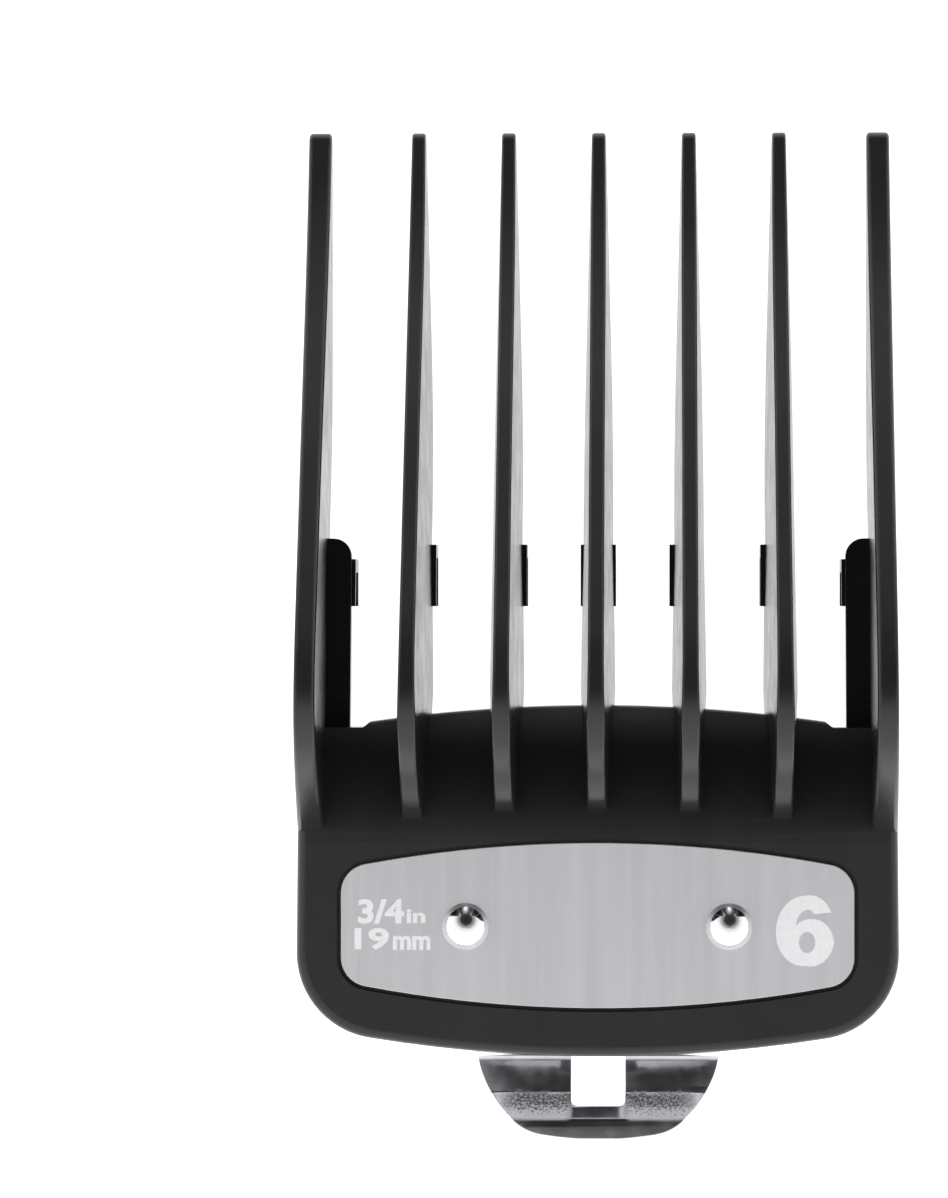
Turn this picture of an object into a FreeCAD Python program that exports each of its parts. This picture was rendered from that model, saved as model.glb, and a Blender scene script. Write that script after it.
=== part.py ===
import FreeCAD, Part
import math
import os

from FreeCAD import Vector

# Clipper guard comb, 19 mm cut, with a riveted spring clip.
# Millimetres. X across the comb, +Y towards the tooth tips, +Z out of the label face.
# It lies on its back, the side that takes the blade, on the plane Z = 0.
# The origin is the middle of its outline, on that plane.

# ---- overall ----
LENGTH = 83.4            # tooth tips to the clip's lip
COMB_LENGTH = 76.1       # tooth tips to the heel of the moulding
HEIGHT = 27.0            # back plane to the top of the teeth
TIP_Y = LENGTH / 2
LIP_Y = -LENGTH / 2
HEEL_Y = TIP_Y - COMB_LENGTH
FAR = 60.0               # reach of every trimming tool

# ---- teeth ----
TOOTH_PITCH = 7.5
INNER_TEETH = 5
TOOTH_TIP_WIDTH = 1.10
TOOTH_MIDDLE_WIDTH = 1.23
TOOTH_BACK_WIDTH = 2.65
MIDDLE_Y, MIDDLE_Z = 18.9, 14.2
BACK_Y, BACK_Z = 2.7, 5.6
FOOT_WIDTH = 1.72        # below its peak a tooth is slimmed by a second pair of planes
FOOT_PEAK_WIDTH = 1.52
FOOT_BACK_WIDTH = 2.74
FOOT_BACK_Y, FOOT_BACK_Z = -5.0, 9.0
TIP_Z = 1.9              # height of a tooth's tip
TIP_ROUND = 0.9
PEAK_Y = -6.2            # where the teeth are highest
FOOT_Y = -14.2           # where the middle tooth meets the panel
FOOT_ARC = 110.0         # radius of the line that the feet follow
BACK_FLAT_END = 21.5     # from here to the tip a tooth's back lies on Z = 0
TOOTH_EDGE = 0.22        # rounding along a tooth's ridge and back
OUTER_INSIDE = 22.25     # flat inner side of the two outer teeth
OUTER_EDGE = 0.35

# ---- drafted outer sides: half width at three places ----
HALF_AT_TIP = 24.15
HALF_AT_PEAK = 23.95
HALF_AT_PANEL = 24.45

# ---- panel ----
FACE_Z = 14.3            # label face
ROLL_START_Y = -17.0     # the face rolls off from here to the floor's edge
FLOOR_EDGE_Y = -5.9
FLOOR_EDGE_Z = 10.3
FLOOR_ARC = 130.0        # the floor's edge seen from the front
FLOOR_HALF = 18.6
FLOOR_SIDE_Y = -7.7
HEEL_ARC = 115.0
HEEL_CORNER = 7.0
FACE_ROUND = 0.8
FLOOR_ROUND = 0.4        # rounding of the floor's far edge

# ---- seat for the blade: a plane that slopes back towards the heel ----
SEAT_TIP_Y = 7.8
SEAT_TIP_Z = 5.0
SEAT_SLOPE = 0.154
PRONG_INSIDE = 20.35
PRONG_THICKNESS = 1.8
PRONG_CORNER = 1.5
PRONG_CHAMFER = 0.5      # lead-in at the prong's end, behind
WALL_INSIDE = 23.3       # a 46 mm blade fits between the side walls
WALL_HEEL_Y = -28.3      # the walls stop short of the round heel corners
WALL_FLAT_END = -8.0
WALL_TIP_Z = 2.0

# ---- lips that hold the blade's tips ----
LIP_TOP_Y = 7.3
LIP_HEEL_Y = 2.2
LIP_INNER = 1.62         # a lip's reach towards the middle of the comb
LIP_OUTER = 1.20         # and away from it
LIP_MIDDLE = 1.45        # reach of the middle tooth's lip, both ways
PRONG_LIP = 0.30         # how far a prong's lip stands in from the prong
PRONG_LIP_TOP_Y = 6.1
LIP_BACK_Z = 0.9
LIP_SHELF = 1.1
POCKET_END_Y = 6.2

# ---- label plate ----
PLATE_Y = -23.7
PLATE_HALF = 20.85
PLATE_RISE = 6.73        # middle of the plate to the top of its curved edge
PLATE_ARC = 102.0
PLATE_CORNER = 2.4
PLATE_THICKNESS = 0.6
PLATE_DEPTH = 0.7        # depth of its recess
PLATE_GAP = 0.3
PLATE_EDGE = 0.08

# ---- rivets ----
RIVET_X = 10.7
RIVET_Y = -23.8
RIVET_HEAD_R = 1.9
RIVET_HEAD_H = 1.15
RIVET_SHANK_R = 1.2
RIVET_HOLE_R = 1.25
RIVET_TAIL_R = 1.75
RIVET_TAIL_H = 0.45

# ---- spring clip ----
STRIP = 0.5
CLIP_Z = 11.75           # middle of the strip where it lies behind the panel
CLIP_TOP_Y = -18.0
CLIP_HALF = 13.4
CLIP_SHOULDER_Y = -29.0
CLIP_NECK_Y = -31.0
CLIP_NECK = 10.0
CLIP_CORNER = 1.5
POCKET_GAP = 0.4
HINGE_Y = -31.6
HINGE_GAP = 0.15
RELIEF = 1.0             # room above the strip where it flexes
BEND_Y = -34.4           # outermost middle line of the bend over the blade's heel
WINDOW_HALF = 2.2
WINDOW_TOP_Y = -33.6
WINDOW_END_Y = -39.1
WINDOW_CORNER = 0.6
THUMB_START_Y = -34.9    # the free end narrows from here
THUMB_SIDE = [(9.0, -37.8), (6.9, -40.3)]
THUMB_CORNER = [(5.9, -40.95), (4.6, -41.33)]


def seat_z(y):
    """Height of the blade's seat at y."""
    return SEAT_TIP_Z + (SEAT_TIP_Y - y) * SEAT_SLOPE


def profile(edges, x_from, x_to):
    """A solid: a closed outline in the Y-Z plane, pulled along X."""
    face = Part.Face(Part.Wire(Part.__sortEdges__(edges)))
    solid = face.extrude(Vector(x_to - x_from, 0, 0))
    solid.translate(Vector(x_from, 0, 0))
    return solid


def chain(points):
    """Straight edges through points in the Y-Z plane."""
    corners = [Vector(0, y, z) for y, z in points]
    return [Part.makeLine(a, b) for a, b in zip(corners, corners[1:])]


def arc(a, middle, b):
    """An arc through three points in the Y-Z plane."""
    return Part.Arc(*[Vector(0, y, z) for y, z in (a, middle, b)]).toShape()


def block(low, high):
    """A box between two corners."""
    size = Vector(*high) - Vector(*low)
    return Part.makeBox(size.x, size.y, size.z, Vector(*low))


def mirrored(shape):
    """The same shape on the other side of X = 0."""
    return shape.mirror(Vector(0, 0, 0), Vector(1, 0, 0))


def side_plane(first, second, third):
    """x as a linear function of y and z, from three points (x, y, z) of a slanted side."""
    u = Vector(*second) - Vector(*first)
    v = Vector(*third) - Vector(*first)
    normal = u.cross(v)

    def x_at(y, z):
        return first[0] - (normal.y * (y - first[1]) + normal.z * (z - first[2])) / normal.x

    return x_at


def beyond(x_at):
    """Everything outside a slanted side, as a cutting tool."""
    corners = [(-FAR, -FAR), (FAR, -FAR), (FAR, FAR), (-FAR, FAR), (-FAR, -FAR)]
    outline = Part.makePolygon([Vector(x_at(y, z), y, z) for y, z in corners])
    return Part.Face(outline).extrude(Vector(FAR, 0, 0))


def outer_side():
    """The drafted outer side of the moulding."""
    return side_plane(
        (HALF_AT_TIP, TIP_Y, TIP_Z),
        (HALF_AT_PEAK, PEAK_Y, HEIGHT),
        (HALF_AT_PANEL, PLATE_Y, FACE_Z),
    )


def tooth_side():
    """The drafted side of an inner tooth, about its own middle."""
    return side_plane(
        (TOOTH_TIP_WIDTH / 2, TIP_Y, TIP_Z),
        (TOOTH_MIDDLE_WIDTH / 2, MIDDLE_Y, MIDDLE_Z),
        (TOOTH_BACK_WIDTH / 2, BACK_Y, BACK_Z),
    )


def foot_side():
    """The drafted side of an inner tooth from its peak down to the panel."""
    return side_plane(
        (FOOT_PEAK_WIDTH / 2, PEAK_Y, HEIGHT),
        (FOOT_WIDTH / 2, FOOT_Y, FACE_Z),
        (FOOT_BACK_WIDTH / 2, FOOT_BACK_Y, FOOT_BACK_Z),
    )


def foot_y(x):
    """Where the tooth at x meets the panel."""
    return FOOT_Y - x * x / (2 * FOOT_ARC)


def tooth_outline(x):
    """Side view of the tooth at x: ridge, foot, back and rounded tip."""
    foot = foot_y(x)
    tip_top = (TIP_Y - 0.7, TIP_Z)
    tip_back = (TIP_Y - TIP_ROUND, 0)
    ridge = [
        tip_top,
        (35.0, 4.3),
        (MIDDLE_Y, MIDDLE_Z),
        (2.7, 23.9),
        (PEAK_Y, HEIGHT),
        (-11.7, 22.0),
        (foot, FACE_Z - 1.0),
    ]
    curve = Part.BSplineCurve()
    curve.interpolate([Vector(0, y, z) for y, z in ridge])
    inside = (foot + 2.0, seat_z(foot) + 1.0)
    behind = (FLOOR_EDGE_Y - 1.5, seat_z(FLOOR_EDGE_Y) + 1.0)
    edges = [
        curve.toShape(),
        arc(tip_top, (TIP_Y, TIP_ROUND), tip_back),
        arc((BACK_FLAT_END, 0), (14.0, 1.5), (LIP_TOP_Y, seat_z(LIP_TOP_Y))),
    ]
    edges += chain([tip_back, (BACK_FLAT_END, 0)])
    edges += chain([(LIP_TOP_Y, seat_z(LIP_TOP_Y)), (LIP_HEEL_Y, seat_z(LIP_HEEL_Y)), behind])
    edges += chain([behind, inside, (foot, FACE_Z - 1.0)])
    return edges


def ridge_edges(solid):
    """The edges along a tooth's ridge; their rounding runs on round the tip and the back."""
    found = []
    for edge in solid.Edges:
        curved = "BSpline" in edge.Curve.TypeId
        if curved and edge.BoundBox.ZMax > FACE_Z:
            found.append(edge)
    return found


def inner_tooth(x):
    """A wedge-shaped tooth, thin at its ridge and tip and thicker at its back."""
    tooth = profile(tooth_outline(x), -FAR / 10, FAR / 10)
    for plane in (tooth_side(), foot_side()):
        side = beyond(plane)
        tooth = tooth.cut(side).cut(mirrored(side))
    tooth = tooth.makeFillet(TOOTH_EDGE, ridge_edges(tooth))
    tooth.translate(Vector(x, 0, 0))
    return tooth


def outer_tooth():
    """The right-hand outer tooth, flat inside and drafted outside."""
    tooth = profile(tooth_outline(OUTER_INSIDE), OUTER_INSIDE, FAR / 2)
    tooth = tooth.cut(beyond(outer_side()))
    return tooth.makeFillet(OUTER_EDGE, ridge_edges(tooth))


def envelope():
    """The moulding's outside seen from the front: drafted sides, curved heel, round corners."""
    sag = FAR * FAR / (8 * HEEL_ARC)
    left = Vector(-FAR / 2, HEEL_Y + sag, -1)
    right = Vector(FAR / 2, HEEL_Y + sag, -1)
    top_right = Vector(FAR / 2, FAR, -1)
    top_left = Vector(-FAR / 2, FAR, -1)
    heel = Part.Arc(left, Vector(0, HEEL_Y, -1), right).toShape()
    rest = Part.makePolygon([right, top_right, top_left, left]).Edges
    solid = Part.Face(Part.Wire([heel] + rest)).extrude(Vector(0, 0, FAR / 2 + 1))
    side = beyond(outer_side())
    solid = solid.cut(side).cut(mirrored(side))
    corners = [
        e for e in solid.Edges
        if e.BoundBox.ZLength > FAR / 3 and e.BoundBox.YMax < HEEL_Y / 2
    ]
    return solid.makeFillet(HEEL_CORNER, corners)


def panel(outside):
    """The base panel: label face, rolled-off floor between the teeth and sloping seat behind."""
    roll_drop = FACE_Z - FLOOR_EDGE_Z
    roll_run = FLOOR_EDGE_Y - ROLL_START_Y
    roll_radius = (roll_run ** 2 + roll_drop ** 2) / (2 * roll_drop)
    half_way = roll_run / 2
    half_drop = roll_radius - math.sqrt(roll_radius ** 2 - half_way ** 2)
    heel = HEEL_Y - 1
    edges = chain([
        (FLOOR_EDGE_Y, FLOOR_EDGE_Z),
        (FLOOR_EDGE_Y, seat_z(FLOOR_EDGE_Y)),
        (heel, seat_z(heel)),
        (heel, FACE_Z),
        (ROLL_START_Y, FACE_Z),
    ])
    edges.append(arc(
        (ROLL_START_Y, FACE_Z),
        (ROLL_START_Y + half_way, FACE_Z - half_drop),
        (FLOOR_EDGE_Y, FLOOR_EDGE_Z),
    ))
    solid = profile(edges, -FAR / 2, FAR / 2).common(outside)
    solid = solid.cut(floor_edge_trim())
    far_edge = [
        e for e in solid.Edges
        if e.BoundBox.YMin > FLOOR_SIDE_Y - 1 and e.BoundBox.ZLength < 1
        and e.BoundBox.XLength > FLOOR_HALF and e.BoundBox.ZMin > FLOOR_EDGE_Z - 1
    ]
    solid = solid.makeFillet(FLOOR_ROUND, far_edge)
    rim = [
        e for e in solid.Edges
        if e.BoundBox.ZMin > FACE_Z - 0.01 and e.BoundBox.YMin < ROLL_START_Y - 1
    ]
    return solid.makeFillet(FACE_ROUND, rim)


def floor_edge_trim():
    """Cuts the floor's far edge to a shallow arc with a step down beside each prong."""
    drop = FLOOR_HALF ** 2 / (2 * FLOOR_ARC)
    right = Vector(FLOOR_HALF, FLOOR_EDGE_Y - drop, 0)
    left = Vector(-FLOOR_HALF, FLOOR_EDGE_Y - drop, 0)
    crown = Part.Arc(left, Vector(0, FLOOR_EDGE_Y, 0), right).toShape()
    step = 0.6
    border = Part.makePolygon([
        right,
        Vector(FLOOR_HALF + step, FLOOR_SIDE_Y, 0),
        Vector(FAR / 2, FLOOR_SIDE_Y, 0),
        Vector(FAR / 2, FAR / 2, 0),
        Vector(-FAR / 2, FAR / 2, 0),
        Vector(-FAR / 2, FLOOR_SIDE_Y, 0),
        Vector(-FLOOR_HALF - step, FLOOR_SIDE_Y, 0),
        left,
    ]).Edges
    return Part.Face(Part.Wire([crown] + border)).extrude(Vector(0, 0, HEIGHT))


def prong(outside):
    """The right-hand flat prong that carries the blade's edge beside the outer tooth."""
    root = FLOOR_SIDE_Y - 2
    band = profile(chain([
        (root, seat_z(root)),
        (PRONG_LIP_TOP_Y, seat_z(PRONG_LIP_TOP_Y)),
        (SEAT_TIP_Y, SEAT_TIP_Z + PRONG_CHAMFER),
        (SEAT_TIP_Y, SEAT_TIP_Z + PRONG_THICKNESS),
        (root, seat_z(root) + PRONG_THICKNESS),
        (root, seat_z(root)),
    ]), PRONG_INSIDE, FAR / 2)
    inner_corner = [
        e for e in band.Edges
        if e.BoundBox.XMax < PRONG_INSIDE + 0.01 and e.BoundBox.YMin > SEAT_TIP_Y - 0.01
    ]
    return band.makeFillet(PRONG_CORNER, inner_corner).common(outside)


def side_wall(outside):
    """The right-hand wall beside the blade, from the heel to the prong's end."""
    heel = HEEL_Y - 1
    wall = profile(chain([
        (heel, FACE_Z - FACE_ROUND - 0.2),
        (heel, seat_z(heel)),
        (WALL_HEEL_Y - 1.2, seat_z(WALL_HEEL_Y)),
        (WALL_HEEL_Y, 0),
        (WALL_FLAT_END, 0),
        (SEAT_TIP_Y, WALL_TIP_Z),
        (SEAT_TIP_Y, SEAT_TIP_Z + PRONG_THICKNESS),
        (FLOOR_EDGE_Y, FLOOR_EDGE_Z - 0.4),
        (ROLL_START_Y, FACE_Z - FACE_ROUND - 0.2),
        (heel, FACE_Z - FACE_ROUND - 0.2),
    ]), WALL_INSIDE, FAR / 2)
    return wall.common(outside)


def blade_lip(x_from, x_to, top_y):
    """A lip behind a tooth or prong: a wall past the blade's tips and a shelf under them."""
    wall = LIP_TOP_Y - POCKET_END_Y
    root = 0.6
    return profile(chain([
        (top_y, seat_z(top_y) + root),
        (top_y, LIP_BACK_Z),
        (LIP_HEEL_Y, LIP_BACK_Z),
        (LIP_HEEL_Y, LIP_BACK_Z + LIP_SHELF),
        (top_y - wall, LIP_BACK_Z + LIP_SHELF),
        (top_y - wall, seat_z(top_y - wall)),
        (LIP_HEEL_Y, seat_z(LIP_HEEL_Y)),
        (LIP_HEEL_Y, seat_z(LIP_HEEL_Y) + root),
        (top_y, seat_z(top_y) + root),
    ]), x_from, x_to)


def tooth_lip(i):
    """The lip of the inner tooth number i, counted from the middle: it leans to the middle."""
    x = i * TOOTH_PITCH
    if i == 0:
        return blade_lip(-LIP_MIDDLE, LIP_MIDDLE, LIP_TOP_Y)
    if i > 0:
        return blade_lip(x - LIP_INNER, x + LIP_OUTER, LIP_TOP_Y)
    return blade_lip(x - LIP_OUTER, x + LIP_INNER, LIP_TOP_Y)


def plate_outline(grow):
    """Closed outline of the label plate, two shallow arcs and two straight ends, grown by a gap."""
    half = PLATE_HALF + grow
    rise = PLATE_RISE + grow
    end = rise - half ** 2 / (2 * PLATE_ARC)
    top = Part.Arc(
        Vector(-half, PLATE_Y + end, 0), Vector(0, PLATE_Y + rise, 0), Vector(half, PLATE_Y + end, 0),
    ).toShape()
    bottom = Part.Arc(
        Vector(-half, PLATE_Y - end, 0), Vector(0, PLATE_Y - rise, 0), Vector(half, PLATE_Y - end, 0),
    ).toShape()
    left = Part.makeLine(Vector(-half, PLATE_Y - end, 0), Vector(-half, PLATE_Y + end, 0))
    right = Part.makeLine(Vector(half, PLATE_Y - end, 0), Vector(half, PLATE_Y + end, 0))
    return Part.Face(Part.Wire(Part.__sortEdges__([top, right, bottom, left])))


def plate_solid(z_from, thickness, grow):
    """The label plate's shape with its four rounded corners."""
    solid = plate_outline(grow).extrude(Vector(0, 0, thickness))
    corners = [e for e in solid.Edges if e.BoundBox.ZLength > thickness * 0.99]
    solid = solid.makeFillet(PLATE_CORNER + grow, corners)
    solid.translate(Vector(0, 0, z_from))
    return solid


def rivet_holes():
    """Two round holes through plate, panel and clip."""
    holes = [
        Part.makeCylinder(RIVET_HOLE_R, FAR / 2, Vector(x, RIVET_Y, 0))
        for x in (-RIVET_X, RIVET_X)
    ]
    return holes[0].fuse(holes[1])


def clip_outline(grow):
    """Front view of the riveted part of the clip: a wide head and a narrower neck."""
    half = CLIP_HALF + grow
    neck = CLIP_NECK + grow
    points = [
        (-half, CLIP_TOP_Y + grow),
        (half, CLIP_TOP_Y + grow),
        (half, CLIP_SHOULDER_Y - grow),
        (neck, CLIP_NECK_Y - grow),
        (neck, HEEL_Y - 2),
        (-neck, HEEL_Y - 2),
        (-neck, CLIP_NECK_Y - grow),
        (-half, CLIP_SHOULDER_Y - grow),
        (-half, CLIP_TOP_Y + grow),
    ]
    return Part.Face(Part.makePolygon([Vector(x, y, 0) for x, y in points]))


def clip_pocket():
    """Room behind the panel for the clip, deeper at the heel where the strip flexes."""
    floor_z = CLIP_Z + STRIP / 2
    pocket = clip_outline(POCKET_GAP).extrude(Vector(0, 0, floor_z))
    half = CLIP_NECK + POCKET_GAP
    relief = profile(chain([
        (HINGE_Y + 1.0, floor_z - 1),
        (HINGE_Y + 1.0, floor_z),
        (HEEL_Y, floor_z + RELIEF),
        (HEEL_Y - 2, floor_z + RELIEF),
        (HEEL_Y - 2, floor_z - 1),
        (HINGE_Y + 1.0, floor_z - 1),
    ]), -half, half)
    return pocket.fuse(relief)


def comb_body():
    """The whole moulding."""
    outside = envelope()
    solids = [panel(outside)]
    count = INNER_TEETH // 2
    for i in range(-count, count + 1):
        solids.append(inner_tooth(i * TOOTH_PITCH))
        solids.append(tooth_lip(i))
    lip = blade_lip(PRONG_INSIDE - PRONG_LIP, OUTER_INSIDE, PRONG_LIP_TOP_Y)
    for part in (outer_tooth(), prong(outside), side_wall(outside), lip):
        solids.append(part)
        solids.append(mirrored(part))
    body = solids[0].multiFuse(solids[1:])
    recess = plate_solid(FACE_Z - PLATE_DEPTH, FAR / 2, PLATE_GAP)
    body = body.cut(recess).cut(clip_pocket()).cut(rivet_holes())
    return body.removeSplitter()


def label_plate():
    """Thin plate that lies on the floor of its recess."""
    plate = plate_solid(FACE_Z - PLATE_DEPTH, PLATE_THICKNESS, 0)
    rim = [e for e in plate.Edges if e.BoundBox.ZMin > FACE_Z - PLATE_DEPTH + PLATE_THICKNESS / 2]
    plate = plate.makeFillet(PLATE_EDGE, rim)
    return plate.cut(rivet_holes())


def rivet(x):
    """Domed head in front, shank through everything, flared tail behind the clip."""
    head_z = FACE_Z - PLATE_DEPTH + PLATE_THICKNESS
    tail_z = CLIP_Z - STRIP / 2
    dome_r = (RIVET_HEAD_R ** 2 + RIVET_HEAD_H ** 2) / (2 * RIVET_HEAD_H)
    dome = Part.makeSphere(dome_r, Vector(0, 0, head_z + RIVET_HEAD_H - dome_r))
    head = dome.common(Part.makeCylinder(RIVET_HEAD_R, FAR, Vector(0, 0, head_z)))
    shank = Part.makeCylinder(RIVET_SHANK_R, head_z - tail_z + 0.1, Vector(0, 0, tail_z - 0.05))
    tail = Part.makeCylinder(RIVET_TAIL_R, RIVET_TAIL_H, Vector(0, 0, tail_z - RIVET_TAIL_H))
    lower = [e for e in tail.Edges if e.BoundBox.ZMax < tail_z - RIVET_TAIL_H / 2]
    tail = tail.makeFillet(RIVET_TAIL_H * 0.6, lower)
    solid = head.multiFuse([shank, tail]).removeSplitter()
    solid.translate(Vector(x, RIVET_Y, 0))
    return solid


def clip_base():
    """The riveted part of the spring strip, flat behind the panel."""
    sheet = clip_outline(0).extrude(Vector(0, 0, STRIP))
    sheet.translate(Vector(0, 0, CLIP_Z - STRIP / 2))
    edge_y = HINGE_Y + HINGE_GAP / 2
    sheet = sheet.cut(block((-FAR, -FAR, 0), (FAR, edge_y, HEIGHT)))
    corners = [
        e for e in sheet.Edges
        if e.BoundBox.ZLength > STRIP * 0.99 and e.BoundBox.YMin > CLIP_NECK_Y + 0.1
    ]
    return sheet.makeFillet(CLIP_CORNER, corners).cut(rivet_holes())


def rounded_path(corners):
    """A wire in the Y-Z plane through (y, z, radius) corners, each rounded by its radius."""
    points = [Vector(0, y, z) for y, z, _ in corners]
    edges = []
    start = points[0]
    for i in range(1, len(points) - 1):
        before = (points[i - 1] - points[i]).normalize()
        after = (points[i + 1] - points[i]).normalize()
        half_angle = before.getAngle(after) / 2
        reach = corners[i][2] / math.tan(half_angle)
        a = points[i] + before * reach
        b = points[i] + after * reach
        bisector = (before + after).normalize()
        centre = points[i] + bisector * (corners[i][2] / math.sin(half_angle))
        middle = centre - bisector * corners[i][2]
        edges.append(Part.makeLine(start, a))
        edges.append(Part.Arc(a, middle, b).toShape())
        start = b
    edges.append(Part.makeLine(start, points[-1]))
    return Part.Wire(edges)


def clip_path():
    """Side view of the flexing strip: past the heel, down behind the blade, then out to the lip."""
    return [
        (HINGE_Y - HINGE_GAP / 2, CLIP_Z, 0),
        (BEND_Y, CLIP_Z, 1.0),
        (BEND_Y + 0.2, 9.4, 1.0),
        (-32.7, 7.5, 0.7),
        (-34.9, 5.3, 1.0),
        (-38.1, 5.85, 0.8),
        (-40.1, 7.75, 0.35),
        (LIP_Y + 0.05, 8.1, 0),
    ]


def thumb_outline():
    """Front view of the flexing strip: parallel sides that narrow to a shallow curved end."""
    top = CLIP_NECK_Y + 1
    edges = []
    for side in (1, -1):
        places = [(CLIP_NECK, THUMB_START_Y)] + THUMB_SIDE + THUMB_CORNER
        points = [Vector(side * x, y, 0) for x, y in places]
        edges.append(Part.Arc(points[0], points[1], points[2]).toShape())
        edges.append(Part.Arc(points[2], points[3], points[4]).toShape())
    end_x, end_y = THUMB_CORNER[-1]
    edges.append(Part.Arc(Vector(end_x, end_y, 0), Vector(0, LIP_Y, 0), Vector(-end_x, end_y, 0)).toShape())
    edges += Part.makePolygon([
        Vector(-CLIP_NECK, THUMB_START_Y, 0),
        Vector(-CLIP_NECK, top, 0),
        Vector(CLIP_NECK, top, 0),
        Vector(CLIP_NECK, THUMB_START_Y, 0),
    ]).Edges
    return Part.Face(Part.Wire(Part.__sortEdges__(edges)))


def clip_window():
    """The slot between the two legs, open from behind the panel to the bend."""
    below = block((-WINDOW_HALF, WINDOW_END_Y, 0), (WINDOW_HALF, HINGE_Y - 0.3, CLIP_Z - 2 * STRIP))
    corners = [
        e for e in below.Edges
        if e.BoundBox.ZLength > STRIP and e.BoundBox.YMax < WINDOW_END_Y + 0.01
    ]
    below = below.makeFillet(WINDOW_CORNER, corners)
    above = block(
        (-WINDOW_HALF, BEND_Y - 1, CLIP_Z - 2 * STRIP - 0.1), (WINDOW_HALF, WINDOW_TOP_Y, HEIGHT),
    )
    return below.fuse(above)


def clip_lever():
    """The flexing part of the strip, with its window and flared lip."""
    line = rounded_path(clip_path())
    sides = [line.makeOffset2D(shift, 0, False, True, False) for shift in (STRIP / 2, -STRIP / 2)]
    ends = [
        Part.makeLine(sides[0].OrderedVertexes[i].Point, sides[1].OrderedVertexes[i].Point)
        for i in (0, -1)
    ]
    solid = profile(sides[0].Edges + sides[1].Edges + ends, -CLIP_NECK, CLIP_NECK)
    solid = solid.common(thumb_outline().extrude(Vector(0, 0, HEIGHT)))
    return solid.cut(clip_window())


def write(name, shape):
    """Writes one part and prints what matters about it."""
    shape.exportStep("parts/" + name + ".step")
    box = shape.optimalBoundingBox()
    print(
        name, "solids", len(shape.Solids), "valid", shape.isValid(), "volume", round(shape.Volume, 1),
        "x", round(box.XMin, 2), round(box.XMax, 2), "y", round(box.YMin, 2), round(box.YMax, 2),
        "z", round(box.ZMin, 2), round(box.ZMax, 2),
    )


os.makedirs("parts", exist_ok=True)
write("comb_body", comb_body())
write("label_plate", label_plate())
write("rivet_left", rivet(-RIVET_X))
write("rivet_right", rivet(RIVET_X))
write("clip_base", clip_base())
write("clip_lever", clip_lever())
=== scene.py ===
import math

import bmesh
import bpy
from mathutils import Matrix, Vector


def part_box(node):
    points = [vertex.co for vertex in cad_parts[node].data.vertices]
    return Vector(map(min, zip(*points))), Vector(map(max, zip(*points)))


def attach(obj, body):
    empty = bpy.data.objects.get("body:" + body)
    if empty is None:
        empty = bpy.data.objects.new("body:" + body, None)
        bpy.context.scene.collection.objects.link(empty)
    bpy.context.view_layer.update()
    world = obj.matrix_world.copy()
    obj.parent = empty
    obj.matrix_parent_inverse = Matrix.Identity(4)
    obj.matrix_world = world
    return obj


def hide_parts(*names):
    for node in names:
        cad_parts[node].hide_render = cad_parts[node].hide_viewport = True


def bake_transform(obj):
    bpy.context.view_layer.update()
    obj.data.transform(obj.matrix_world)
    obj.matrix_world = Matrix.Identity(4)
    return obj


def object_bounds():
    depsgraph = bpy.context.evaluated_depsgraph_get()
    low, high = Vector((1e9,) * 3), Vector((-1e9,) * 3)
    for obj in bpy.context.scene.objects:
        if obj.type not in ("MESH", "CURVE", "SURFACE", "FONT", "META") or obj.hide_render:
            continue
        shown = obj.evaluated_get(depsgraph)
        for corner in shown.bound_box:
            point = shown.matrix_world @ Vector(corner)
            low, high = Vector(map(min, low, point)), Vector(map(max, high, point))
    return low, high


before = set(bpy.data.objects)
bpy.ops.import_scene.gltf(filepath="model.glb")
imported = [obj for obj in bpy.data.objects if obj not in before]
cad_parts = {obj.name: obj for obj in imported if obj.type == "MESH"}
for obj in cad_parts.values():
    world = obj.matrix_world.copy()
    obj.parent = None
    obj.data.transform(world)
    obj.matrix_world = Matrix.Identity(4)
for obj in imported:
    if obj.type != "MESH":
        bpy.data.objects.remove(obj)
CAD_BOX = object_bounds()

MM = 0.001

# ---- places read from the frame ----
PLATE_LOW, PLATE_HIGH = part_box("label_plate")
BASE_LOW, BASE_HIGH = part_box("clip_base")
LEVER_LOW, LEVER_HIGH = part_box("clip_lever")
RIVET_LOW, RIVET_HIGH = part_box("rivet_right")

# ---- printed size marks ----
INK = 0.02 * MM          # how far the ink stands above the plate, and how far it reaches into it
TEXT_WEIGHT = 0.035      # how much bolder the small marks are, in parts of the letters' size
ARC_STEPS = 12           # straight pieces to each arc of the six
BOWL_STEPS = 40          # straight pieces round the hole in its bowl

# ---- camera ----
CAMERA_HEIGHT = 487 * MM
CAMERA_X = 4.6 * MM
CAMERA_Y = 2.8 * MM
CAMERA_LEAN = 1.77       # degrees that the camera leans towards -X, which sets the framing
LENS = 175.0
SENSOR = 36.0

# ---- light ----
DARK_LEAN = 32.0         # degrees from overhead to the middle of the dark part, towards +Y
DARK_ASIDE = 0.05        # how far that middle also lies towards +X
SKY_BLUE = 1.02          # the sky's blue, against its red and green
SKY = [(0.0, 1.55), (0.40, 1.35), (0.66, 1.10), (0.84, 0.40), (0.93, 0.05), (1.0, 0.03)]
FLOOR_GLOW = 1.1

# ---- spring clip ----
STRIP = BASE_HIGH.z - BASE_LOW.z
STRIP_EDGE = 0.09 * MM
STRIP_Z = (BASE_LOW.z + BASE_HIGH.z) / 2
BEND_STEPS = 10          # straight pieces to each bend
BEND_CUT = 0.35 * MM     # the longest piece of strip between two cuts

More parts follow.
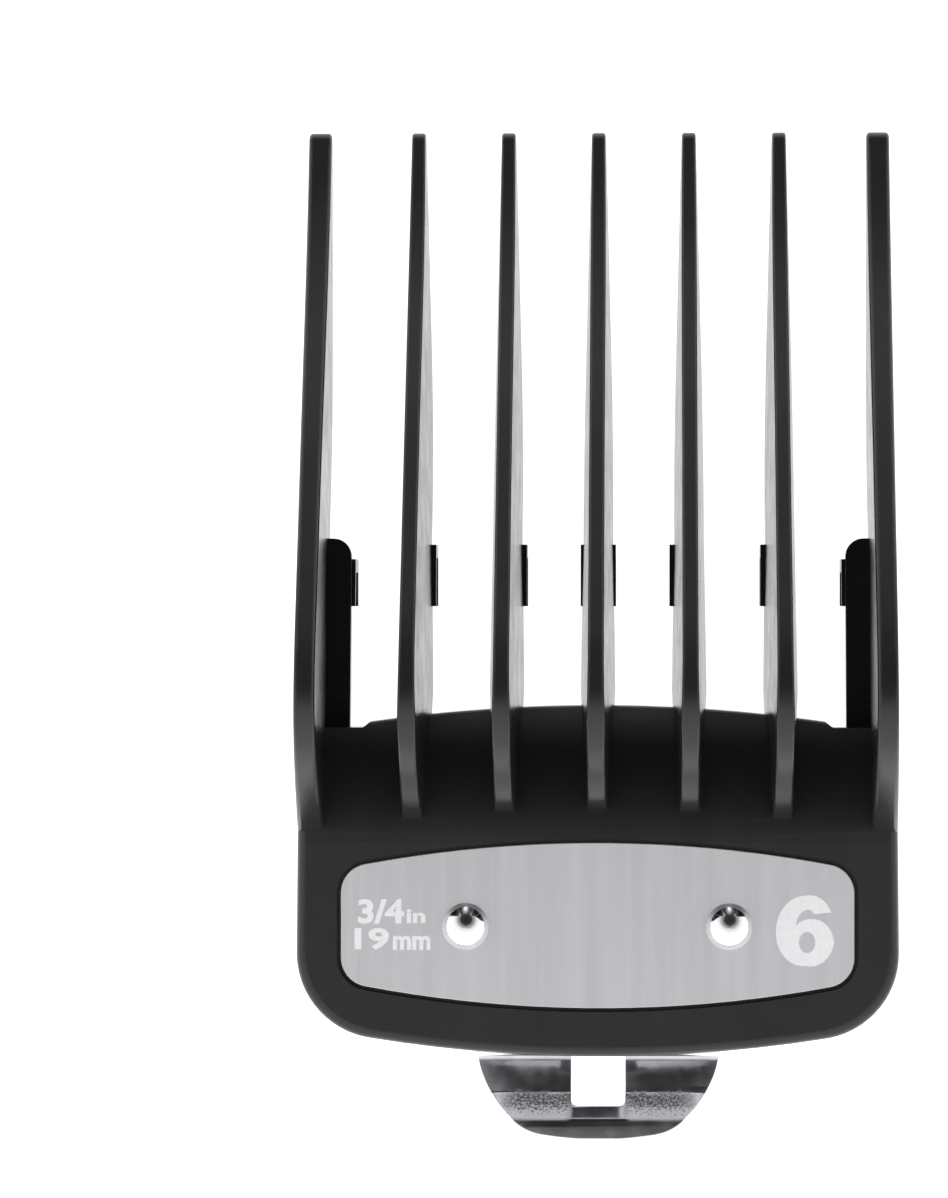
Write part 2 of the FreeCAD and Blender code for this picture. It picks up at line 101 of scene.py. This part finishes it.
# ---- its side view: each corner's Y and Z, and its bend's radius ----
CLIP_BEND_Y = -34.4 * MM
LEG_LOW_Y = -34.9 * MM
LIP_CURL_Y = -38.1 * MM
LIP_CREASE_Y = -40.1 * MM
INNER_END = (BASE_HIGH.y, STRIP_Z, 0)
HEEL = (CLIP_BEND_Y, STRIP_Z, 1.0 * MM)                     # the flat part turns down
DROP = (CLIP_BEND_Y + 0.2 * MM, 9.4 * MM, 1.0 * MM)         # the legs turn in
CATCH = (-32.7 * MM, 7.5 * MM, 0.7 * MM)                    # inmost, under the blade's heel
LEG_LOW = (LEG_LOW_Y, 5.30 * MM, 1.0 * MM)                  # lowest
LIP_CURL = (LIP_CURL_Y, 5.85 * MM, 0.8 * MM)                # the legs turn up into the thumb lip
LIP_CREASE = (LIP_CREASE_Y, 7.75 * MM, 0.35 * MM)           # the lip flattens
LIP_END = (LEVER_LOW.y + 0.05 * MM, 8.1 * MM, 0)

# ---- its outline from above, on the right: X and Y ----
HEAD_CORNER = 1.5 * MM
SHOULDER_Y = -29.0 * MM  # the head starts to narrow
NECK_Y = -31.0 * MM      # it has narrowed to the legs
NECK_HALF = LEVER_HIGH.x
LIP_SIDE = (9.0 * MM, -37.8 * MM)
LIP_CORNER = (6.9 * MM, -40.3 * MM)
LIP_TURN = (5.9 * MM, -40.95 * MM)
LIP_FRONT = (4.6 * MM, -41.33 * MM)
WINDOW_HALF = 2.2 * MM
WINDOW_TOP_Y = -33.6 * MM
WINDOW_LOW_Y = -39.1 * MM
WINDOW_CORNER = 0.6 * MM
RIVET_HOLE = 1.25 * MM   # radius
CORNER_STEPS = 6         # straight pieces to each quarter circle
HOLE_STEPS = 32          # straight pieces round each rivet hole

# ---- the painted speckled highlight where the legs curl ----
CURL_RAGGED = 0.9 * MM   # size and reach of its ragged edge
CURL_START = 0.35 * MM   # from the curl's corner to full speckle
CURL_FADE = 0.45 * MM
CREASE_FADE = 0.1 * MM
CURL_SIDE = (6.6 * MM, 8.2 * MM)    # where it fades out towards the lip's sides
HIGHLIGHT_SPECKLE = 0.21 * MM


# =============================================================== node helpers

def new_material(name):
    """A material with its node tree and its shader."""
    material = bpy.data.materials.new(name)
    material.use_nodes = True
    tree = material.node_tree
    return material, tree, tree.nodes["Principled BSDF"]


def add(tree, kind, inputs=None, **settings):
    """A node, with its settings and the values of its unlinked inputs."""
    node = tree.nodes.new(kind)
    for key, value in settings.items():
        setattr(node, key, value)
    for key, value in (inputs or {}).items():
        node.inputs[key].default_value = value
    return node


def object_space(tree, stretch=(1, 1, 1)):
    """The part's own coordinates in metres, stretched for grain that runs one way."""
    place = add(tree, "ShaderNodeTexCoord")
    mapping = add(tree, "ShaderNodeMapping", {"Scale": stretch})
    tree.links.new(place.outputs["Object"], mapping.inputs["Vector"])
    return mapping.outputs["Vector"]


def noise(tree, vector, size, detail=3.0, roughness=0.5):
    """Noise whose features are about size metres across."""
    node = add(tree, "ShaderNodeTexNoise",
               {"Scale": 1.0 / size, "Detail": detail, "Roughness": roughness})
    tree.links.new(vector, node.inputs["Vector"])
    return node.outputs["Fac"]


def spread(tree, value, low, high, from_low=0.3, from_high=0.7):
    """value, mostly between from_low and from_high, mapped to low and high."""
    node = add(tree, "ShaderNodeMapRange", {
        "From Min": from_low, "From Max": from_high, "To Min": low, "To Max": high})
    tree.links.new(value, node.inputs["Value"])
    return node.outputs["Result"]


def mix_colour(tree, factor, first, second):
    """A colour between two, by a factor from 0 to 1."""
    node = add(tree, "ShaderNodeMix", data_type="RGBA")
    tree.links.new(factor, node.inputs["Factor"])
    node.inputs["A"].default_value = (*first, 1)
    node.inputs["B"].default_value = (*second, 1)
    return node.outputs["Result"]


def bump(tree, height, distance, strength=1.0, below=None):
    """A surface normal moved by a height, on top of another bump if below is given."""
    node = add(tree, "ShaderNodeBump", {"Strength": strength, "Distance": distance})
    tree.links.new(height, node.inputs["Height"])
    if below is not None:
        tree.links.new(below, node.inputs["Normal"])
    return node.outputs["Normal"]


# =============================================================== materials

def nylon_material():
    """Black glass-filled nylon: a satin skin with a fine spark-eroded grain."""
    material, tree, shader = new_material("nylon_black")
    space = object_space(tree)
    flow = noise(tree, object_space(tree, (1, 0.25, 1)), 6 * MM, 4.0)
    colour = mix_colour(tree, spread(tree, flow, 0, 1), (0.0160, 0.0160, 0.0172), (0.0205, 0.0205, 0.0222))
    tree.links.new(colour, shader.inputs["Base Color"])
    grain = noise(tree, space, 0.16 * MM, 2.0)
    patches = noise(tree, space, 3 * MM, 3.0)
    tree.links.new(spread(tree, patches, 0.20, 0.27), shader.inputs["Roughness"])
    fine = bump(tree, grain, 0.02 * MM, 0.5)
    tree.links.new(bump(tree, patches, 0.03 * MM, 0.5, fine), shader.inputs["Normal"])
    shader.inputs["IOR"].default_value = 1.43
    return material


def label_material():
    """Stainless sheet brushed along Y."""
    material, tree, shader = new_material("steel_brushed")
    shader.inputs["Metallic"].default_value = 1.0
    lines = noise(tree, object_space(tree, (1, 0.012, 1)), 0.07 * MM, 4.0, 0.65)
    bands = noise(tree, object_space(tree, (1, 0.05, 1)), 1.2 * MM, 3.0)
    colour = mix_colour(tree, spread(tree, bands, 0, 1), (0.66, 0.66, 0.665), (0.72, 0.72, 0.73))
    tree.links.new(colour, shader.inputs["Base Color"])
    tree.links.new(spread(tree, lines, 0.45, 0.6), shader.inputs["Roughness"])
    tree.links.new(bump(tree, lines, 0.004 * MM, 0.5), shader.inputs["Normal"])
    return material


def polished_material(name, colour, rough_low, rough_high):
    """Polished steel with faint hairlines and smudges."""
    material, tree, shader = new_material(name)
    shader.inputs["Metallic"].default_value = 1.0
    space = object_space(tree)
    smudge = noise(tree, space, 1.4 * MM, 4.0)
    hair = noise(tree, object_space(tree, (0.08, 1, 1)), 0.09 * MM, 3.0)
    light = tuple(min(1.0, c * 1.12) for c in colour)
    tree.links.new(mix_colour(tree, spread(tree, smudge, 0, 1), colour, light), shader.inputs["Base Color"])
    tree.links.new(spread(tree, smudge, rough_low, rough_high), shader.inputs["Roughness"])
    tree.links.new(bump(tree, hair, 0.003 * MM, 0.5), shader.inputs["Normal"])
    return material


def product(tree, first, second):
    """Two values multiplied."""
    node = add(tree, "ShaderNodeMath", operation="MULTIPLY")
    tree.links.new(first, node.inputs[0])
    tree.links.new(second, node.inputs[1])
    return node.outputs["Value"]


def painted_curl_highlight_mask(tree, space):
    """Mask of the painted highlight: 1 on the two patches where the legs curl up into the thumb lip, with
    ragged edges, else 0.
    """
    split = add(tree, "ShaderNodeSeparateXYZ")
    tree.links.new(space, split.inputs["Vector"])
    ragged = add(tree, "ShaderNodeMath", {2: 0.0}, operation="MULTIPLY_ADD")
    ragged.inputs[1].default_value = CURL_RAGGED
    tree.links.new(noise(tree, space, CURL_RAGGED, 3.0), ragged.inputs[0])
    tree.links.new(split.outputs["Y"], ragged.inputs[2])
    side = add(tree, "ShaderNodeMath", operation="ABSOLUTE")
    tree.links.new(split.outputs["X"], side.inputs[0])
    start = LIP_CURL_Y + CURL_START
    curled = spread(tree, ragged.outputs["Value"], 1, 0, start, start + CURL_FADE)
    above = spread(tree, split.outputs["Y"], 0, 1, LIP_CREASE_Y - CREASE_FADE, LIP_CREASE_Y + CREASE_FADE)
    inner = spread(tree, side.outputs["Value"], 0, 1, WINDOW_HALF - 0.1 * MM, WINDOW_HALF + 0.5 * MM)
    outer = spread(tree, side.outputs["Value"], 1, 0, *CURL_SIDE)
    return product(tree, product(tree, curled, above), product(tree, inner, outer))


def spring_material():
    """Polished spring steel, with a painted speckled highlight where the legs curl up into the thumb lip.
    """
    material, tree, shader = new_material("steel_spring")
    shader.inputs["Metallic"].default_value = 1.0
    space = object_space(tree)
    smudge = noise(tree, space, 1.6 * MM, 4.0)
    polished = mix_colour(tree, spread(tree, smudge, 0, 1), (0.50, 0.50, 0.52), (0.62, 0.62, 0.64))
    highlight_zone = painted_curl_highlight_mask(tree, space)
    split = add(tree, "ShaderNodeSeparateXYZ")
    tree.links.new(space, split.inputs["Vector"])
    # the painted highlight's speckles grow denser towards the crease
    denser = spread(
        tree, split.outputs["Y"], 0.16, -0.03, LIP_CREASE_Y + 0.15 * MM, LIP_CREASE_Y + 1.3 * MM)
    highlight_speckle_noise = add(tree, "ShaderNodeMath", operation="ADD")
    tree.links.new(noise(tree, space, HIGHLIGHT_SPECKLE, 5.0, 0.85), highlight_speckle_noise.inputs[0])
    tree.links.new(denser, highlight_speckle_noise.inputs[1])
    highlight_speckles = spread(tree, highlight_speckle_noise.outputs["Value"], 0, 1, 0.46, 0.56)
    # painted highlight: near-white speckles in the colour stand in for the bright reflection where the legs
    # bend up into the lip, dark between them
    painted_highlight_colour = mix_colour(tree, highlight_speckles, (0.16, 0.16, 0.17), (1.0, 1.0, 1.0))
    colour = add(tree, "ShaderNodeMix", data_type="RGBA")
    tree.links.new(highlight_zone, colour.inputs["Factor"])
    tree.links.new(polished, colour.inputs["A"])
    tree.links.new(painted_highlight_colour, colour.inputs["B"])
    tree.links.new(colour.outputs["Result"], shader.inputs["Base Color"])
    gloss = add(tree, "ShaderNodeMath", {1: 0.38}, operation="MULTIPLY")
    tree.links.new(highlight_zone, gloss.inputs[0])
    total = add(tree, "ShaderNodeMath", operation="ADD")
    tree.links.new(spread(tree, smudge, 0.10, 0.20), total.inputs[0])
    tree.links.new(gloss.outputs["Value"], total.inputs[1])
    tree.links.new(total.outputs["Value"], shader.inputs["Roughness"])
    tree.links.new(bump(tree, smudge, 0.02 * MM, 0.4), shader.inputs["Normal"])
    return material


def ink_material():
    """White printed ink."""
    material, tree, shader = new_material("ink_white")
    worn = noise(tree, object_space(tree), 0.35 * MM, 4.0)
    colour = mix_colour(tree, spread(tree, worn, 0, 1), (0.90, 0.90, 0.90), (0.96, 0.96, 0.96))
    tree.links.new(colour, shader.inputs["Base Color"])
    tree.links.new(spread(tree, worn, 0.42, 0.6), shader.inputs["Roughness"])
    return material


def floor_material():
    """Pale matt sheet, lit a little from below like a light table."""
    material, tree, shader = new_material("pale_floor")
    shade = noise(tree, object_space(tree), 60 * MM, 2.0)
    colour = mix_colour(tree, spread(tree, shade, 0, 1), (0.88, 0.88, 0.88), (0.90, 0.90, 0.90))
    tree.links.new(colour, shader.inputs["Base Color"])
    shader.inputs["Roughness"].default_value = 0.9
    shader.inputs["Emission Color"].default_value = (1, 1, 1, 1)
    shader.inputs["Emission Strength"].default_value = FLOOR_GLOW
    return material


def dress(piece, material):
    """Gives one material to every face of a piece."""
    piece.data.materials.clear()
    piece.data.materials.append(material)


# =============================================================== mesh helpers

def new_piece(name, mesh):
    """A mesh object of the scene."""
    piece = bpy.data.objects.new(name, mesh)
    bpy.context.scene.collection.objects.link(piece)
    return piece


def smooth(piece, degrees=35):
    """Smooth shading with sharp edges kept above an angle."""
    mesh = piece.data
    for face in mesh.polygons:
        face.use_smooth = True
    mesh.set_sharp_from_angle(angle=math.radians(degrees))


# =============================================================== spring clip

def turned(first, last, part):
    """A flat vector turned part of the way from first towards last."""
    return Matrix.Rotation(-first.angle_signed(last) * part, 2) @ first


def fillet_path(corners, steps):
    """Points along a path of (y, z, radius) corners, each rounded by an arc of its radius."""
    points = [Vector((y, z)) for y, z, _ in corners]
    line = [points[0]]
    for i in range(1, len(points) - 1):
        before = (points[i - 1] - points[i]).normalized()
        after = (points[i + 1] - points[i]).normalized()
        half = before.angle(after) / 2
        radius = corners[i][2]
        middle = points[i] + (before + after).normalized() * (radius / math.sin(half))
        spokes = [points[i] + side * (radius / math.tan(half)) - middle for side in (before, after)]
        for step in range(steps + 1):
            line.append(middle + turned(spokes[0], spokes[1], step / steps))
    line.append(points[-1])
    return line


def arc_through(a, m, b, steps):
    """Points on the arc through three (x, y) points, from a to b."""
    a, m, b = Vector(a), Vector(m), Vector(b)
    u, v = m - a, b - a
    cross = 2 * (u.x * v.y - u.y * v.x)
    to_middle = Vector((
        (v.y * u.length_squared - u.y * v.length_squared) / cross,
        (u.x * v.length_squared - v.x * u.length_squared) / cross,
    ))
    middle = a + to_middle
    return [middle + turned(a - middle, b - middle, i / steps) for i in range(steps + 1)]


class Strip:
    """The bent strip's middle line. It turns a distance along the strip into a place."""

    def __init__(self, line):
        self.line = line
        self.along = [0.0]
        for a, b in zip(line, line[1:]):
            self.along.append(self.along[-1] + (b - a).length)
        tangents = [(b - a).normalized() for a, b in zip(line, line[1:])]
        self.tangents = [tangents[0]]
        self.tangents += [(a + b).normalized() for a, b in zip(tangents, tangents[1:])]
        self.tangents.append(tangents[-1])

    def place(self, x, s, lift):
        """Where (x, s) of the blank goes, lifted off the middle line towards the outside."""
        i = 0
        while i < len(self.along) - 2 and s > self.along[i + 1]:
            i += 1
        part = (s - self.along[i]) / (self.along[i + 1] - self.along[i])
        here = self.line[i].lerp(self.line[i + 1], part)
        tangent = self.tangents[i].lerp(self.tangents[i + 1], part).normalized()
        return Vector((x, here.x + tangent.y * lift, here.y - tangent.x * lift))

    def reach(self, y):
        """How far along the strip's last bends a given y is."""
        for i in range(len(self.line) - 2, 0, -1):
            a, b = self.line[i].x, self.line[i + 1].x
            if a >= y >= b:
                return self.along[i] + (self.along[i + 1] - self.along[i]) * (a - y) / (a - b)
        return self.along[-1]


def clip_line():
    """Side view of the strip's middle, like the CAD strip's: flat, over the heel, down, out to the lip."""
    return fillet_path([INNER_END, HEEL, DROP, CATCH, LEG_LOW, LIP_CURL, LIP_CREASE, LIP_END], BEND_STEPS)


def quarter(corner_x, corner_s, radius, start):
    """Points on a quarter circle about a corner's middle, from an angle in degrees."""
    angles = [math.radians(start + 90 / CORNER_STEPS * i) for i in range(CORNER_STEPS + 1)]
    return [(corner_x + radius * math.cos(a), corner_s + radius * math.sin(a)) for a in angles]


def blank_outline(strip):
    """The flat blank's outline as (x, s): the head behind the panel, the neck, the thumb lip."""
    head = BASE_HIGH.x
    right = quarter(head - HEAD_CORNER, HEAD_CORNER, HEAD_CORNER, -90)
    right += [(head, BASE_HIGH.y - SHOULDER_Y), (NECK_HALF, BASE_HIGH.y - NECK_Y)]
    lip = arc_through((NECK_HALF, LEG_LOW_Y), LIP_SIDE, LIP_CORNER, 14)
    lip += arc_through(LIP_CORNER, LIP_TURN, LIP_FRONT, 8)[1:]
    front = arc_through(LIP_FRONT, (0, LEVER_LOW.y), (-LIP_FRONT[0], LIP_FRONT[1]), 24)
    lip += front[1:len(front) // 2 + 1]
    right += [(p.x, strip.reach(p.y)) for p in lip]
    left = [(-x, s) for x, s in reversed(right) if x > 1e-6]
    return right + left


def window_outline(strip):
    """The slot between the two legs, from the bend over the heel to the thumb lip."""
    top = BASE_HIGH.y - WINDOW_TOP_Y
    low = strip.reach(WINDOW_LOW_Y)
    half, corner = WINDOW_HALF, WINDOW_CORNER
    ring = quarter(half - corner, low - corner, corner, 0)
    ring += quarter(-half + corner, low - corner, corner, 90)
    ring += quarter(-half + corner, top + corner, corner, 180)
    return ring + quarter(half - corner, top + corner, corner, 270)


def rivet_holes():
    """The holes for the two rivets, as (x, s)."""
    x = (RIVET_LOW.x + RIVET_HIGH.x) / 2
    s = BASE_HIGH.y - (RIVET_LOW.y + RIVET_HIGH.y) / 2
    turns = [2 * math.pi * i / HOLE_STEPS for i in range(HOLE_STEPS)]
    circle = [(RIVET_HOLE * math.cos(a), RIVET_HOLE * math.sin(a)) for a in turns]
    return [[(side * x + u, s + v) for u, v in circle] for side in (-1, 1)]


def stations(strip):
    """Distances at which the blank is cut across, so that it can bend there."""
    found = []
    for s, e in zip(strip.along[1:-1], strip.along[2:]):
        steps = max(1, round((e - s) / BEND_CUT))
        found += [s + (e - s) * i / steps for i in range(steps)]
    return found


def spring_clip():
    """The bent strip in one piece, from its blank: outline, window, soft edges, then the bends."""
    strip = Strip(clip_line())
    work = bmesh.new()
    for outline in [blank_outline(strip), window_outline(strip)] + rivet_holes():
        ring = [work.verts.new((x, s, 0)) for x, s in outline]
        for a, b in zip(ring, ring[1:] + ring[:1]):
            work.edges.new((a, b))
    bmesh.ops.triangle_fill(work, edges=work.edges[:], use_beauty=True)
    bmesh.ops.dissolve_limit(work, angle_limit=0.01, verts=[], edges=work.edges[:])
    top = work.faces[:]
    pulled = bmesh.ops.extrude_face_region(work, geom=top)
    for vert in [v for v in pulled["geom"] if isinstance(v, bmesh.types.BMVert)]:
        vert.co.z -= STRIP
    bmesh.ops.translate(work, verts=work.verts, vec=(0, 0, STRIP / 2))
    bmesh.ops.recalc_face_normals(work, faces=work.faces)
    flat = [e for e in work.edges if abs(e.verts[0].co.z - e.verts[1].co.z) < 1e-9]
    rim = [e for e in flat if e.calc_face_angle(0) > 1.4]
    bmesh.ops.bevel(work, geom=rim, offset=STRIP_EDGE, segments=3, affect="EDGES", profile=0.5)
    for s in stations(strip):
        geometry = work.verts[:] + work.edges[:] + work.faces[:]
        bmesh.ops.bisect_plane(work, geom=geometry, dist=1e-7, plane_co=(0, s, 0), plane_no=(0, 1, 0))
    for vert in work.verts:
        vert.co = strip.place(vert.co.x, vert.co.y, vert.co.z)
    bmesh.ops.recalc_face_normals(work, faces=work.faces)
    mesh = bpy.data.meshes.new("spring_clip")
    work.to_mesh(mesh)
    work.free()
    piece = new_piece("spring_clip", mesh)
    smooth(piece, 30)
    return piece


# =============================================================== printed size marks

def printed(name, work, low, high):
    """A flat outline's faces, fitted between two (x, y) corners as a thin coat of ink."""
    bmesh.ops.remove_doubles(work, verts=work.verts, dist=1e-5)
    start = [min(vert.co[i] for vert in work.verts) for i in (0, 1)]
    end = [max(vert.co[i] for vert in work.verts) for i in (0, 1)]
    for vert in work.verts:
        for i in (0, 1):
            part = (vert.co[i] - start[i]) / (end[i] - start[i])
            vert.co[i] = low[i] + (high[i] - low[i]) * part
        vert.co.z = PLATE_HIGH.z + INK
    faces = work.faces[:]
    pulled = bmesh.ops.extrude_face_region(work, geom=faces)
    for vert in [v for v in pulled["geom"] if isinstance(v, bmesh.types.BMVert)]:
        vert.co.z = PLATE_HIGH.z - INK
    bmesh.ops.recalc_face_normals(work, faces=work.faces)
    for face in work.faces:
        face.smooth = False
    mesh = bpy.data.meshes.new(name)
    work.to_mesh(mesh)
    work.free()
    piece = new_piece(name, mesh)
    dress(piece, ink)
    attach(piece, "comb")


def plain_text(text):
    """The filled outlines of a few plain characters, made bolder."""
    letters = bpy.data.curves.new("draft", "FONT")
    letters.body = text
    letters.offset = TEXT_WEIGHT
    letters.resolution_u = 8
    draft = bpy.data.objects.new("draft", letters)
    bpy.context.scene.collection.objects.link(draft)
    graph = bpy.context.evaluated_depsgraph_get()
    mesh = bpy.data.meshes.new_from_object(draft.evaluated_get(graph))
    bpy.data.objects.remove(draft)
    work = bmesh.new()
    work.from_mesh(mesh)
    return work


def bold_six():
    """A heavy six in a unit square: an outline of arcs and the hole in its bowl."""
    corners = [
        (0.95, 0.76), (0.80, 0.94), (0.52, 1.00), (0.13, 0.83), (0.00, 0.47), (0.14, 0.13), (0.50, 0.00),
        (0.87, 0.10), (1.00, 0.335), (0.88, 0.57), (0.60, 0.665), (0.46, 0.645), (0.35, 0.57),
        (0.40, 0.72), (0.52, 0.795), (0.60, 0.79), (0.645, 0.735),
    ]
    outline = []
    for i in range(0, len(corners) - 2, 2):
        outline += arc_through(corners[i], corners[i + 1], corners[i + 2], ARC_STEPS)[:-1]
    outline.append(Vector(corners[-1]))
    turns = [2 * math.pi * i / BOWL_STEPS for i in range(BOWL_STEPS)]
    hole = [Vector((0.535 + 0.14 * math.cos(a), 0.333 + 0.15 * math.sin(a))) for a in turns]
    work = bmesh.new()
    for ring in (outline, hole):
        verts = [work.verts.new((p.x, p.y, 0)) for p in ring]
        for a, b in zip(verts, verts[1:] + verts[:1]):
            work.edges.new((a, b))
    bmesh.ops.triangle_fill(work, edges=work.edges[:], use_beauty=True)
    return work


def size_marks():
    """The guard's number on the right, and its cut in inches and in millimetres on the left."""
    left, right, top = PLATE_LOW.x, PLATE_HIGH.x, PLATE_HIGH.y
    # name, outline, left end; then in mm its width, its foot from the plate's top, and its height
    marks = [
        ("number_six", bold_six(), right - 6.36 * MM, 4.71, -10.02, 5.78),
        ("cut_inches", plain_text("3/4"), left + 1.40 * MM, 3.76, -6.61, 2.01),
        ("unit_inches", plain_text("in"), left + 5.35 * MM, 1.54, -6.55, 1.13),
        ("cut_millimetres", plain_text("19"), left + 1.12 * MM, 2.80, -8.73, 1.79),
        ("unit_millimetres", plain_text("mm"), left + 4.25 * MM, 3.05, -8.73, 1.16),
    ]
    for name, work, x, width, y, height in marks:
        low = (x, top + y * MM)
        printed(name, work, low, (low[0] + width * MM, low[1] + height * MM))


# =============================================================== stage

def make_camera():
    """The camera over the part, looking down, where the photo was taken from."""
    data = bpy.data.cameras.new("camera")
    data.lens = LENS
    data.sensor_width = SENSOR
    data.clip_start = 0.01
    data.clip_end = 20
    camera = bpy.data.objects.new("camera", data)
    bpy.context.scene.collection.objects.link(camera)
    camera.location = (CAMERA_X, CAMERA_Y, CAMERA_HEIGHT)
    camera.rotation_euler = (0, math.radians(CAMERA_LEAN), 0)
    bpy.context.scene.camera = camera


def make_world():
    """Soft light from all round, weakest high up on the side of the tooth tips."""
    world = bpy.data.worlds.new("studio")
    world.use_nodes = True
    tree = world.node_tree
    place = add(tree, "ShaderNodeTexCoord")
    lean = math.radians(DARK_LEAN)
    dark = add(tree, "ShaderNodeVectorMath", operation="DOT_PRODUCT")
    dark.inputs[1].default_value = (DARK_ASIDE, math.sin(lean), math.cos(lean))
    ramp = add(tree, "ShaderNodeValToRGB")
    tree.links.new(place.outputs["Generated"], dark.inputs[0])
    tree.links.new(dark.outputs["Value"], ramp.inputs["Fac"])
    stops = ramp.color_ramp
    stops.interpolation = "EASE"
    while len(stops.elements) < len(SKY):
        stops.elements.new(0.5)
    for element, (position, level) in zip(stops.elements, SKY):
        element.position = position
        element.color = (level, level, level * SKY_BLUE, 1)
    background = tree.nodes["Background"]
    tree.links.new(ramp.outputs["Color"], background.inputs["Color"])
    background.inputs["Strength"].default_value = 1.0
    bpy.context.scene.world = world


def make_floor():
    """The sheet that the part lies on."""
    size = 1.5
    mesh = bpy.data.meshes.new("floor")
    work = bmesh.new()
    bmesh.ops.create_grid(work, x_segments=8, y_segments=8, size=size)
    work.to_mesh(mesh)
    work.free()
    floor = new_piece("floor", mesh)
    floor.location.z = CAD_BOX[0][2]
    dress(floor, floor_material())


make_world()
make_camera()
make_floor()

nylon = nylon_material()
steel = label_material()
rivet_metal = polished_material("steel_rivet", (0.74, 0.74, 0.75), 0.06, 0.14)
spring_metal = spring_material()
dress(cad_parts["comb_body"], nylon)
dress(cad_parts["label_plate"], steel)
for name in ("rivet_left", "rivet_right"):
    dress(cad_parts[name], rivet_metal)
for name in ("clip_base", "clip_lever"):
    dress(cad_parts[name], spring_metal)

ink = ink_material()
size_marks()
clip = spring_clip()
dress(clip, spring_metal)
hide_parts("clip_base", "clip_lever")
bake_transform(clip)

bpy.context.scene.view_settings.view_transform = "Standard"
